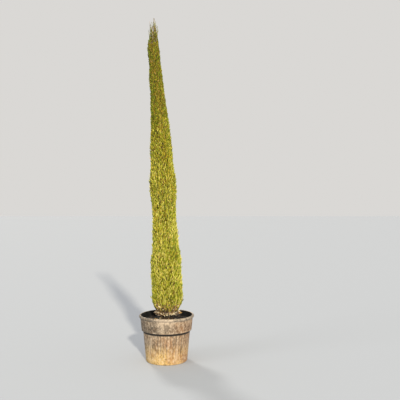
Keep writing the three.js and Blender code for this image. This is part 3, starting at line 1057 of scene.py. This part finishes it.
class MakeFoliage(bpy.types.Operator):
    """Grow the leafy sprays of every tier, each spray in one plain tint"""

    bl_idname = "cypress.make_foliage"
    bl_label = "Foliage"

    def execute(self, context):
        growth = context.scene.cypress_growth
        colours = context.scene.cypress_colours
        materials = [leaf_finish(f"leaf_{tint}", getattr(colours, tint)) for tint in LEAF_TINTS]
        foot, way, length, value, wide = outer_sprays()
        tint = self.dealt_tints(foot, value, growth.seed + 4)
        starts = [min(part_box(name)[0].z for name in nodes_named(f"foliage_{tier}_")) for tier in TIERS[1:]]
        tier = np.searchsorted(np.array(starts) + TIER_OVERLAP, foot[:, 2])
        # Branchlets a tint darker low on a spray and brighter at its top: painted shade and painted light
        steps = np.repeat(branchlet_steps(growth.branchlets), len(SPINDLE_FACES))
        for k, label in enumerate(TIERS):
            mine = tier == k
            points, faces, each = spray_mesh(
                foot[mine], way[mine], length[mine], wide[mine][:, None],
                growth.branchlets, growth.seed + 10 + k,
            )
            own = np.repeat(tint[mine], each).reshape(-1, each)
            index = np.where(own < GREENS, np.clip(own + steps, 0, GREENS - 1), own).ravel()
            nodes = nodes_named(f"foliage_{label}_")
            add_piece(f"foliage_tier_{label}", points, faces, materials, nodes, "foliage", index)
        return {"FINISHED"}

    def dealt_tints(self, foot, value, seed):
        """Tint number of each spray: by rank of its value, then amber, mossy and bronze ones in soft patches.

        A patch is where slow ripples over height and angle are high or low. The front and the back are more
        bronzed, most of all at the front right, and the sides mossier: painted light, warm where the lights
        fall and green on the sides as painted shade. Tan ones lie at the foot.
        """
        rng = np.random.default_rng(seed)
        edges = np.quantile(value, np.cumsum(GREEN_SHARES))
        tint = np.searchsorted(edges, value)
        angle, _ = angle_of(foot)
        height = foot[:, 2]
        patch = ripples(2.0 * np.cos(angle) + 3.1 * height, 2.0 * np.sin(angle) + 2.3 * height, seed + 1)
        # Painted light: warm bronze and amber on the front and back, most at the front right towards the key
        # light; green moss on the sides as painted shade
        lit_front_and_back = np.sin(angle) ** 2
        draw = rng.random(len(foot))
        bronze = curve(height, BRONZE_SHARES) * (0.35 + lit_front_and_back + 0.3 * np.cos(angle + 0.6))
        amber = bronze + curve(height, AMBER_STRENGTHS) * (0.14 * np.clip(patch, 0, 1.2) + 0.08 * lit_front_and_back)
        moss = amber + curve(height, MOSS_SHARES) + 0.14 * np.clip(-patch, 0, 1.2) + 0.14 * (1 - lit_front_and_back)
        tint[draw < moss] = LEAF_TINTS.index("moss")
        tint[draw < amber] = LEAF_TINTS.index("amber")
        tint[draw < bronze] = LEAF_TINTS.index("bronze")
        dead = rng.random(len(foot)) < curve(height, TAN_SHARES)
        tint[dead] = LEAF_TINTS.index("tan")
        return tint


INNER_LENGTH = 0.085
INNER_WIDTH = 8 * MM
INNER_TINTS = {"green": 0.4, "olive": 0.35, "bronze": 0.25}  # and how many sprays have each
INNER_REACH = 0.86  # the share of the crown's reach that the tips of inner sprays keep inside
INNER_STOP = 0.04  # how far below the plume the inner sprays stop
INNER_DROP = 0.3  # how far those that would stand above that are moved down


class MakeInnerFoliage(bpy.types.Operator):
    """Fill the shaded inside of the crown with coarse, dull sprays"""

    bl_idname = "cypress.make_inner_foliage"
    bl_label = "Inner foliage"

    def execute(self, context):
        growth = context.scene.cypress_growth
        colours = context.scene.cypress_colours
        rng = np.random.default_rng(growth.seed + 20)
        z, angle = twig_targets(growth.inner_sprays, growth.seed + 21)
        z = np.where(z > PLUME_FOOT - INNER_STOP, z - INNER_DROP, z)
        reach = crown_reach(z, angle)
        depth = rng.uniform(0.45, 0.8, len(z))
        foot = axis_at(z) + outward(angle) * (depth * reach)[:, None]
        way = unit(UP + outward(angle + rng.normal(0, 0.9, len(z))) * rng.uniform(0.1, 0.5, (len(z), 1)))
        length = np.minimum(INNER_LENGTH, 0.55 * reach + 0.02) * rng.uniform(0.8, 1.15, len(z))
        foot, _ = held_inside(foot, way, length, INNER_REACH)
        mesh = spray_mesh(foot, way, length, INNER_WIDTH, count=7, seed=growth.seed + 22, spread=0.7)
        tint = rng.choice(len(INNER_TINTS), len(z), p=list(INNER_TINTS.values()))
        materials = [leaf_finish(f"inner_{name}", getattr(colours, name)) for name in INNER_TINTS]
        add_sprays("inner_sprays", mesh, materials, tint, (), "foliage")
        return {"FINISHED"}


UPPER_SHARE = 0.5  # of the skirt's sprays: those that hang just under the crown
STRAY_SHARE = 0.09  # of them: those that lie furthest out

DRY_TINTS = ("straw", "tan", "brown", "withered")

# Shares of straw, tan and brown sprays in each layer, added up; the next tint has the rest
SKIRT_TINTS = {"upper": (0.42, 0.95), "lower": (0.93, 0.98), "stray": (0.1, 0.2, 0.45)}


class MakeDrySkirt(bpy.types.Operator):
    """Hang dead, bleached sprays from the low boughs, round the foot of the trunk"""

    bl_idname = "cypress.make_dry_skirt"
    bl_label = "Dry skirt"

    def execute(self, context):
        growth = context.scene.cypress_growth
        colours = context.scene.cypress_colours
        rng = np.random.default_rng(growth.seed + 30)
        count = growth.skirt_sprays
        low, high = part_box("dry_skirt_front")
        reach = min(-low.y, high.x)
        angle = golden_turns(count) + rng.normal(0, 0.2, count)
        draw = rng.random(count)
        upper = draw < UPPER_SHARE
        stray = draw > 1 - STRAY_SHARE
        layer = rng.uniform(0, 1, count)
        z = np.where(upper, CROWN_FOOT + 0.01 + 0.06 * layer, low.z + 0.022 + 0.02 * layer)
        z = np.where(stray, low.z + 0.018 + 0.036 * layer, z)
        upper_share = rng.uniform(0.62, 0.9, count) + 0.25 * layer
        lower_share = rng.uniform(0.36, 0.74, count)
        share = np.where(stray, rng.uniform(0.75, 1.1, count), np.where(upper, upper_share, lower_share))
        foot = axis_at(z) + outward(angle) * (share * reach)[:, None]
        slope = rng.uniform(-0.2, 0.25, (count, 1)) + 0.4 * upper[:, None]
        way = unit(outward(angle + rng.normal(0, 0.6, count)) + UP * slope)
        length = rng.uniform(0.022, 0.042, count)
        mesh = spray_mesh(foot, way, length, 3.3 * MM, count=12, seed=growth.seed + 31, spread=0.6)
        materials = [leaf_finish(f"dry_{name}", getattr(colours, name), 0.75) for name in DRY_TINTS]
        draw = rng.random(count)
        dealt = {name: np.searchsorted(shares, draw) for name, shares in SKIRT_TINTS.items()}
        tint = np.where(stray, dealt["stray"], np.where(upper, dealt["upper"], dealt["lower"]))
        add_sprays("dry_skirt_sprays", mesh, materials, tint, nodes_named("dry_skirt"), "dry_foliage")
        return {"FINISHED"}


LOWEST_LEDGE = 0.1


def pot_ledges():
    """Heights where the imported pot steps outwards, each with the radius below and above the step."""
    points, _ = packed_mesh(["pot"])
    on_line = points[(np.abs(points[:, 1]) < 0.05 * MM) & (points[:, 0] > 10 * MM)]
    ledges = []
    for z in np.unique(np.round(on_line[:, 2], 4)):
        radii = np.unique(np.round(on_line[np.abs(on_line[:, 2] - z) < 0.05 * MM][:, 0], 4))
        if len(radii) == 2 and z > LOWEST_LEDGE:
            ledges.append((float(z), float(radii[0]), float(radii[1])))
    return ledges


def arc(centre_r, centre_z, radius, start, end, count):
    """Points of an arc in the profile plane, between two angles in degrees from straight outwards."""
    a = np.radians(np.linspace(start, end, count))
    return list(zip(centre_r + radius * np.cos(a), centre_z + radius * np.sin(a)))


def line(first, last, count):
    """Evenly spaced points between two, without the ends."""
    t = np.linspace(0, 1, count + 2)[1:-1, None]
    return [tuple(p) for p in np.array(first) * (1 - t) + np.array(last) * t]


POT_WALL = 5 * MM
POT_COLUMNS = 264
RIM_SAG = 1.5 * MM
FLAT_RADIUS = 0.1  # the middle of the underside, which has no dents


def pot_profile(body_foot, ledges):
    """Radius and height along the pot's outline, from the middle of its underside and back down inside."""
    (ledge_z, body_top, collar_foot), (rim_z, collar_top, _) = ledges
    bead = (POT_HEIGHT - rim_z) / 2
    edge = (body_foot - 14 * MM, 0.0)
    underside = [(0.0, 0.0), *line((0, 0), edge, 3), edge, (body_foot - 11 * MM, 2 * MM)]
    foot = arc(body_foot - 6 * MM, 7 * MM, 6 * MM, -80, 0, 5)
    body = line((body_foot, 7 * MM), (body_top, ledge_z - 4 * MM), 26)
    ledge = [
        (body_top, ledge_z - 4 * MM), (body_top + 1 * MM, ledge_z - 1 * MM), (collar_foot - 3 * MM, ledge_z),
        *arc(collar_foot - 2.5 * MM, ledge_z + 2.5 * MM, 2.5 * MM, -80, 0, 4),
    ]
    collar = line((collar_foot, ledge_z + 3 * MM), (collar_top, rim_z - 4 * MM), 12)
    rim = [
        (collar_top, rim_z - 4 * MM), (collar_top + 1 * MM, rim_z),
        *arc(RIM_RADIUS - bead, rim_z + bead, bead, -55, 90, 12),
        *arc(RIM_RADIUS - bead - 2 * MM, POT_HEIGHT - 3 * MM, 3 * MM, 90, 180, 4),
    ]
    top = (collar_top - POT_WALL, POT_HEIGHT - 10 * MM)
    step = [(collar_foot - POT_WALL, ledge_z + POT_WALL), (body_top - POT_WALL, ledge_z - POT_WALL)]
    floor = [(body_foot - POT_WALL, POT_WALL), (0.0, POT_WALL)]
    inside = [*line(top, step[0], 10), *step, *line(step[1], floor[0], 6), *floor]
    return np.array([*underside, *foot, *body, *ledge, *collar, *rim, *inside])


class MakePot(bpy.types.Operator):
    """Turn the plastic pot, with its rolled rim, collar, ledge and fluted body"""

    bl_idname = "cypress.make_pot"
    bl_label = "Pot"

    def execute(self, context):
        pot = context.scene.cypress_pot
        ledges = pot_ledges()[:2]
        (ledge_z, _, _), (rim_z, _, _) = ledges
        points, _ = packed_mesh(["pot"])
        body_foot = float(np.hypot(points[:, 0], points[:, 1])[points[:, 2] < 1 * MM].max()) + 6 * MM
        profile = pot_profile(body_foot, ledges)
        angles = np.arange(POT_COLUMNS) * TURN / POT_COLUMNS
        radii = profile[:, :1] * np.ones((1, POT_COLUMNS))
        heights = profile[:, 1:] * np.ones((1, POT_COLUMNS))
        radii = radii + self.fluting(pot, radii, heights, angles, body_foot, ledge_z)
        loose = np.clip(heights / POT_HEIGHT, 0, 1) ** 1.5 * (radii > FLAT_RADIUS)
        u, v = 2.2 * np.cos(angles)[None], 2.2 * np.sin(angles)[None] + 3 * heights
        radii = radii + pot.dents * loose * ripples(u, v, seed=5, waves=10, finest=2.5)
        heights = heights - RIM_SAG * (heights > rim_z) * (0.5 + 0.5 * np.cos(2 * angles + 0.7))
        points, faces = turned(radii, heights, angles[None])
        first_inside = int(np.argmax(profile[:, 1])) + 2
        inside = (faces.min(1) // POT_COLUMNS >= first_inside).astype(int)
        materials = [self.weathered_plastic(pot, ledge_z, rim_z), self.dark_plastic(pot)]
        add_piece("pot_wall", points, faces, materials, ["pot"], "pot", inside, smooth=True)
        return {"FINISHED"}

    def dark_plastic(self, pot):
        """The inside of the wall: nearly black plastic with faint upright stains of dust."""
        material, tree, shader = finish_of("dark_plastic", 0.6)
        stains = noise_at(tree, 18.0, 5.0, 0.6, (1.0, 1.0, 0.3))
        dark = np.array(pot.inside)
        colour = ramp(tree, stains, [(0.4, dark), (0.75, dark * 3.0)])
        tree.links.new(colour, shader.inputs["Base Color"])
        shader.inputs["Specular IOR Level"].default_value = 0.25
        return material

    def fluting(self, pot, radii, heights, angles, body_foot, ledge_z):
        """Shallow flutes on the outside of the body, whose depth fades out at its foot and its top."""
        outside = (radii > body_foot - 1 * MM) & (heights < ledge_z - 3 * MM)
        above_foot = np.clip((heights - 16 * MM) / (14 * MM), 0, 1)
        below_ledge = np.clip((ledge_z - 12 * MM - heights) / (14 * MM), 0, 1)
        fade = above_foot * below_ledge
        wave = np.abs(np.sin(angles * pot.ribs / 2))[None]
        return -pot.rib_depth * outside * fade * (1 - wave) ** 1.5

    def weathered_plastic(self, pot, ledge_z, rim_z):
        """Grey-brown plastic under tan dust.

        The colour goes by height from the dusty foot to the body, the collar with its pale edges, which are
        partly wear and partly painted highlight, and the grey rim. Over that lie, in this order, ochre dust,
        thickest to the right; lobes of painted highlight on the collar and rim; painted shade on the left of
        the collar; upright streaks that are faint on the collar; fine mottles; darker flutes; pale and grimy
        patches; and a painted shadow under the ledge.
        """
        material, tree, shader = finish_of("weathered_plastic", 0.7)
        streaks = noise_at(tree, 34.0, 5.0, 0.6, (1.0, 1.0, 0.12))
        mottles = noise_at(tree, 62.0, 9.0, 0.72, (1.0, 1.0, 0.6))
        blotches = noise_at(tree, 7.0, 6.0, 0.62)
        patches = noise_at(tree, 26.0, 9.0, 0.72, (1.0, 1.0, 0.7))
        grain = noise_at(tree, 150.0, 3.0, 0.5)
        x, y, z = object_axes(tree)
        height = calculated(tree, "DIVIDE", z, POT_HEIGHT)
        turn = calculated(tree, "ARCTAN2", y, x)
        ledge, rim = ledge_z / POT_HEIGHT, rim_z / POT_HEIGHT

        def times(first, second):
            """The product of an output and an output or a number."""
            return calculated(tree, "MULTIPLY", first, second)

        def by_height(*stops):
            """A share that goes by height, on straight lines between the stops."""
            return grey_ramp(tree, height, stops)

        to_the_right = rising(tree, x, -0.08, 0.2, 0.36)
        dusty = calculated(tree, "ADD", rising(tree, blotches, 0.46, 0.64, 0.6), to_the_right)
        # Painted highlight: three lobes round the pot, one at the front, strongest just under and on the rim
        lobes = rising(tree, calculated(tree, "SINE", times(turn, 3.0)), 0.1, 0.9)
        painted_highlight = by_height(
            (ledge + 0.01, 0.0), (ledge + 0.1, 0.15), (rim - 0.08, 0.32), (rim - 0.02, 0.6), (1.0, 0.62)
        )
        on_collar = by_height((ledge - 0.01, 0.3), (ledge + 0.02, 1.0))
        on_body = by_height((ledge - 0.01, 1.0), (ledge + 0.02, 0.4))
        streaky = by_height((0.05, 0.2), (0.3, 0.5), (ledge - 0.01, 0.5), (ledge + 0.01, 0.2))
        fluted = by_height((0.08, 0.0), (0.3, 1.0), (ledge - 0.03, 1.0), (ledge, 0.0))
        # Painted shadow: a dark band under the ledge and on the collar's lower bevel
        under = by_height(
            (ledge - 0.055, 0.0), (ledge - 0.036, 1.0), (ledge + 0.005, 1.0), (ledge + 0.011, 0.0)
        )
        wave = calculated(tree, "SINE", times(turn, pot.ribs / 2))
        groove = grey_ramp(tree, calculated(tree, "ABSOLUTE", wave), [(0.1, 0.5), (0.6, 0.0)])

        colour = ramp(tree, height, [
            (0.0, pot.foot_dust), (0.22, pot.foot_dust), (0.44, pot.body), (ledge - 0.006, pot.body),
            # Pale bands at the collar's lower and upper edges: wear and painted highlight
            (ledge + 0.008, pot.worn_lit_collar_edge), (ledge + 0.05, pot.collar), (rim - 0.13, pot.collar),
            (rim - 0.03, pot.worn_lit_collar_edge), (rim + 0.012, pot.rim),
        ])
        layers = [
            (times(dusty, rising(tree, height, rim + 0.01, rim - 0.03)), pot.ochre),
            # Painted highlight on the collar and rim
            (times(lobes, painted_highlight), pot.pale),
            # Painted shade: the collar darkens towards its left side
            (times(rising(tree, x, -0.03, -0.2, 0.85), on_collar), pot.grime),
            (times(rising(tree, streaks, 0.5, 0.62), streaky), pot.pale),
            (times(rising(tree, streaks, 0.47, 0.37, 0.9), streaky), pot.grime),
            (rising(tree, mottles, 0.51, 0.62, 0.7), pot.pale),
            (rising(tree, mottles, 0.49, 0.38, 0.6), pot.grime),
            (times(groove, fluted), pot.grime),
            (rising(tree, patches, 0.56, 0.72, 0.8), pot.pale),
            (times(rising(tree, patches, 0.42, 0.28, 0.7), on_body), pot.grime),
            # The painted shadow under the ledge
            (under, pot.shadow_line),
        ]
        for share, laid_on in layers:
            colour = blend_colours(tree, share, colour, laid_on)
        tree.links.new(colour, shader.inputs["Base Color"])
        tree.links.new(rising(tree, blotches, 0.0, 1.0, 0.85, 0.5), shader.inputs["Roughness"])
        relief(tree, shader, grain, 0.0006, 0.6)
        return material


SOIL_EDGE_DROP = 8 * MM
SOIL_COLUMNS = 220
SOIL_ROWS = 90
SOIL_SKIN = 20 * MM  # depth of the uneven top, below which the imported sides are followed


def soil_height(r, angle):
    """Height of the potting mix: level at the trunk, lower at the wall, with small heaps and hollows."""
    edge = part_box("soil")[1].x
    x, y = r * np.cos(angle), r * np.sin(angle)
    slope = SOIL_EDGE_DROP * np.clip((r / edge - 0.3) / 0.7, 0, 1)
    heaps = 3.0 * MM * ripples(38 * x, 38 * y, seed=11, waves=12, finest=2.5)
    fine = 1.4 * MM * ripples(210 * x, 210 * y, seed=12, waves=16, finest=2.5)
    return SOIL_TOP - slope + heaps + fine


CHIP_SIZE = np.array([26, 13, 4.5]) * MM  # of the largest

# Colours of the bark chips, as they would be picked on a screen, and how many have each; most are nearly
# black, darker than the bark itself, as painted shade
CHIP_TINTS = (("dark", (17, 14, 11), 0.86), ("brown", (38, 29, 22), 0.13), ("pale", (96, 80, 64), 0.01))

# A block's corners and its triangles, two for each side
BLOCK_CORNERS = np.array([[x, y, z] for z in (-0.5, 0.5) for y in (-0.5, 0.5) for x in (-0.5, 0.5)])
BLOCK_SIDES = ((0, 2, 3, 1), (4, 5, 7, 6), (0, 1, 5, 4), (2, 6, 7, 3), (0, 4, 6, 2), (1, 3, 7, 5))
BLOCK_FACES = np.array([corners for a, b, c, d in BLOCK_SIDES for corners in ((a, b, c), (a, c, d))])


class MakePottingMix(bpy.types.Operator):
    """Fill the pot with dark potting mix, bark chips, straw and fallen sprays"""

    bl_idname = "cypress.make_potting_mix"
    bl_label = "Potting mix"

    def execute(self, context):
        pot = context.scene.cypress_pot
        colours = context.scene.cypress_colours
        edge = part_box("soil")[1].x
        angles = np.arange(SOIL_COLUMNS) * TURN / SOIL_COLUMNS
        all_round = np.ones((1, SOIL_COLUMNS))
        side = self.side_profile(edge)
        top = np.linspace(edge, 0.0, SOIL_ROWS)[:, None]
        radii = np.concatenate([side[:, :1] * all_round, top * all_round])
        heights = np.concatenate([side[:, 1:] * all_round, soil_height(top, angles[None])])
        heights[-1] = heights[-1].mean()
        mesh = turned(radii, heights, angles[None])
        add_piece("potting_mix", *mesh, [self.moist_mix_and_shade(pot)], ["soil"], "potting_mix", smooth=True)
        self.scatter_chips(context, pot, edge)
        self.scatter_litter(context, pot, colours, edge)
        return {"FINISHED"}

    def side_profile(self, edge):
        """Radius and height along the mix's underside and side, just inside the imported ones."""
        points, _ = packed_mesh(["soil"])
        wide = np.hypot(points[:, 0], points[:, 1])
        outline = [(0.0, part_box("soil")[0].z)]
        for level in np.unique(np.round(points[:, 2], 4)):
            reach = float(wide[np.abs(points[:, 2] - level) < 0.1 * MM].max())
            if level < SOIL_TOP - SOIL_SKIN:
                outline.append((reach - 3 * MM, float(level)))
        outline.append((edge - 1 * MM, SOIL_TOP - 14 * MM))
        return np.array(outline)

    def moist_mix_and_shade(self, pot):
        """Nearly black moist mix with brown crumbs, darker than the mix itself as painted shade."""
        material, tree, shader = finish_of("moist_mix_and_shade", 0.95)
        crumbs = noise_at(tree, 130.0, 8.0, 0.7)
        mix = np.array(pot.mix)
        colour = ramp(tree, crumbs, [(0.35, mix * 0.4), (0.55, mix), (0.78, mix * 2.4)])
        tree.links.new(colour, shader.inputs["Base Color"])
        relief(tree, shader, crumbs, 0.003)
        return material

    def scatter_chips(self, context, pot, edge):
        """Bark chips: uneven six-sided blocks, laid flat on the mix at random."""
        rng = np.random.default_rng(context.scene.cypress_growth.seed + 40)
        count = pot.chips
        r = (edge - 8 * MM) * np.sqrt(rng.random(count))
        angle = rng.uniform(0, TURN, count)
        size = rng.uniform(0.4, 1.0, (count, 1)) ** 1.6 * CHIP_SIZE * rng.uniform(0.7, 1.2, (count, 3))
        corners = BLOCK_CORNERS * size[:, None] * rng.uniform(0.7, 1.15, (count, *BLOCK_CORNERS.shape))
        normal = unit(UP + rng.normal(0, 0.28, (count, 3)))
        side, other = square_to(normal, rng.uniform(0, TURN, count))
        laid = sum(corners[..., k : k + 1] * axis[:, None] for k, axis in enumerate((side, other, normal)))
        centre = outward(angle) * r[:, None]
        centre[:, 2] = soil_height(r, angle) + 1.2 * MM
        points = (centre[:, None] + laid).reshape(-1, 3)
        faces = repeated_faces(BLOCK_FACES, count, len(BLOCK_CORNERS))
        names, colours, shares = zip(*CHIP_TINTS)
        materials = [self.chip_finish(f"chip_{name}", colour) for name, colour in zip(names, colours)]
        index = np.repeat(rng.choice(len(names), count, p=shares), len(BLOCK_FACES))
        add_piece("bark_chips", points, faces, materials, (), "potting_mix", index)

    def chip_finish(self, name, screen):
        """Rough bark in two close shades."""
        material, tree, shader = finish_of(name, 0.9)
        colour = (np.array(screen) / 255) ** 2.2
        grain = noise_at(tree, 90.0, 5.0, 0.6)
        mixed = ramp(tree, grain, [(0.35, colour * 0.6), (0.65, colour * 1.25)])
        tree.links.new(mixed, shader.inputs["Base Color"])
        relief(tree, shader, grain, 0.002)
        return material

    def scatter_litter(self, context, pot, colours, edge):
        """Fallen dead sprays and straw, thickest round the foot of the trunk."""
        seed = context.scene.cypress_growth.seed
        rng = np.random.default_rng(seed + 50)
        count = pot.litter
        r = 0.035 + (edge - 0.06) * rng.random(count) ** 4.4
        angle = rng.uniform(0, TURN, count)
        foot = outward(angle) * r[:, None]
        foot[:, 2] = soil_height(r, angle) + rng.uniform(3, 9, count) * MM
        way = unit(outward(rng.uniform(0, TURN, count)) + UP * rng.uniform(-0.1, 0.22, (count, 1)))
        length = rng.uniform(0.018, 0.05, count)
        inside = np.hypot(*(foot + way * length[:, None])[:, :2].T) < edge - 4 * MM
        foot, way, length = foot[inside], way[inside], length[inside]
        sprays = rng.random(len(foot)) < 0.62
        points, faces, each = spray_mesh(
            foot[sprays], way[sprays], length[sprays], 3 * MM, count=6, seed=seed + 44, spread=1.0
        )
        straws = ~sprays
        low_end = foot[straws]
        high_end = low_end + way[straws] * 1.3 * length[straws][:, None]
        roll = rng.uniform(0, TURN, len(low_end))
        straw_mesh = spindles(low_end, high_end, np.full(len(low_end), 2.4 * MM), roll, belly=0.5)
        mesh = joined([(points, faces), straw_mesh])
        materials = [leaf_finish(f"litter_{name}", getattr(colours, name), 0.8) for name in DRY_TINTS[:3]]
        browner = 0.4 * (np.hypot(foot[:, 0], foot[:, 1]) > 0.1)
        tints = np.searchsorted([0.14, 0.5], rng.random(len(foot)) + browner)
        index = np.concatenate([np.repeat(tints[sprays], each), np.repeat(tints[straws], len(SPINDLE_FACES))])
        add_piece("litter", *mesh, materials, (), "dry_foliage", index)


class CypressPanel(bpy.types.Panel):
    """Buttons for every step"""

    bl_idname = "VIEW3D_PT_cypress"
    bl_label = "Potted cypress"
    bl_space_type = "VIEW_3D"
    bl_region_type = "UI"
    bl_category = "Cypress"

    def draw(self, context):
        for group in PROPERTY_GROUPS:
            settings = getattr(context.scene, group)
            box = self.layout.box()
            for key in settings.bl_rna.properties.keys():
                if key not in ("rna_type", "name"):
                    box.prop(settings, key)
        for operator in STEPS:
            self.layout.operator(operator.bl_idname)


PROPERTY_GROUPS = {
    "cypress_growth": CypressGrowth,
    "cypress_colours": CypressColours,
    "cypress_pot": CypressPot,
    "cypress_stage": CypressStage,
}
STEPS = (MakeStage, MakeBark, MakeFoliage, MakeInnerFoliage, MakeDrySkirt, MakePot, MakePottingMix)


def register():
    for made in (*PROPERTY_GROUPS.values(), *STEPS, CypressPanel):
        bpy.utils.register_class(made)
    for key, group in PROPERTY_GROUPS.items():
        setattr(bpy.types.Scene, key, PointerProperty(type=group))


def unregister():
    for key in PROPERTY_GROUPS:
        delattr(bpy.types.Scene, key)
    for made in reversed((*PROPERTY_GROUPS.values(), *STEPS, CypressPanel)):
        bpy.utils.unregister_class(made)


def main():
    """Makes the stage and every piece."""
    register()
    for step in STEPS:
        group, name = step.bl_idname.split(".")
        if getattr(getattr(bpy.ops, group), name)() != {"FINISHED"}:
            raise RuntimeError(f"{step.bl_label} could not be made")


if __name__ == "__main__":
    main()
